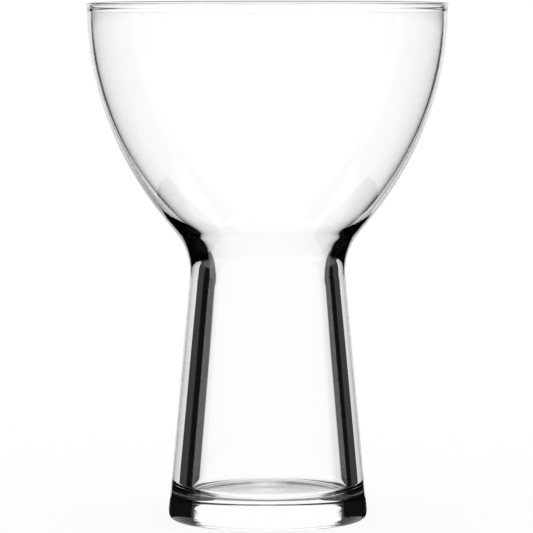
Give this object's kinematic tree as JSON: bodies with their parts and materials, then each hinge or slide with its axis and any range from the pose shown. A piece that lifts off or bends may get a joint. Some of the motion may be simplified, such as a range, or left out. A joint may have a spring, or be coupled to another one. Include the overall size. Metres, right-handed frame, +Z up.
{
  "type": "margarita glass",
  "caption": "Clear cocktail glass for table use: a wide thin-walled bowl narrows to a neck over a thick hollow stem that flares to a solid flat base.",
  "frame": {"origin": "centre of the base, on the surface that the glass stands on", "axes": "+Z up along the axis of the glass, towards the mouth; X and Y alike, because the glass is a body of revolution"},
  "size_m": [0.1084, 0.1084, 0.155],
  "materials": {
    "glass": "clear, fire-polished"
  },
  "bodies": {
    "root": {"rim": "glass", "bowl": "glass", "neck": "glass", "stem": "glass", "base": "glass"}
  },
  "joints": []
}
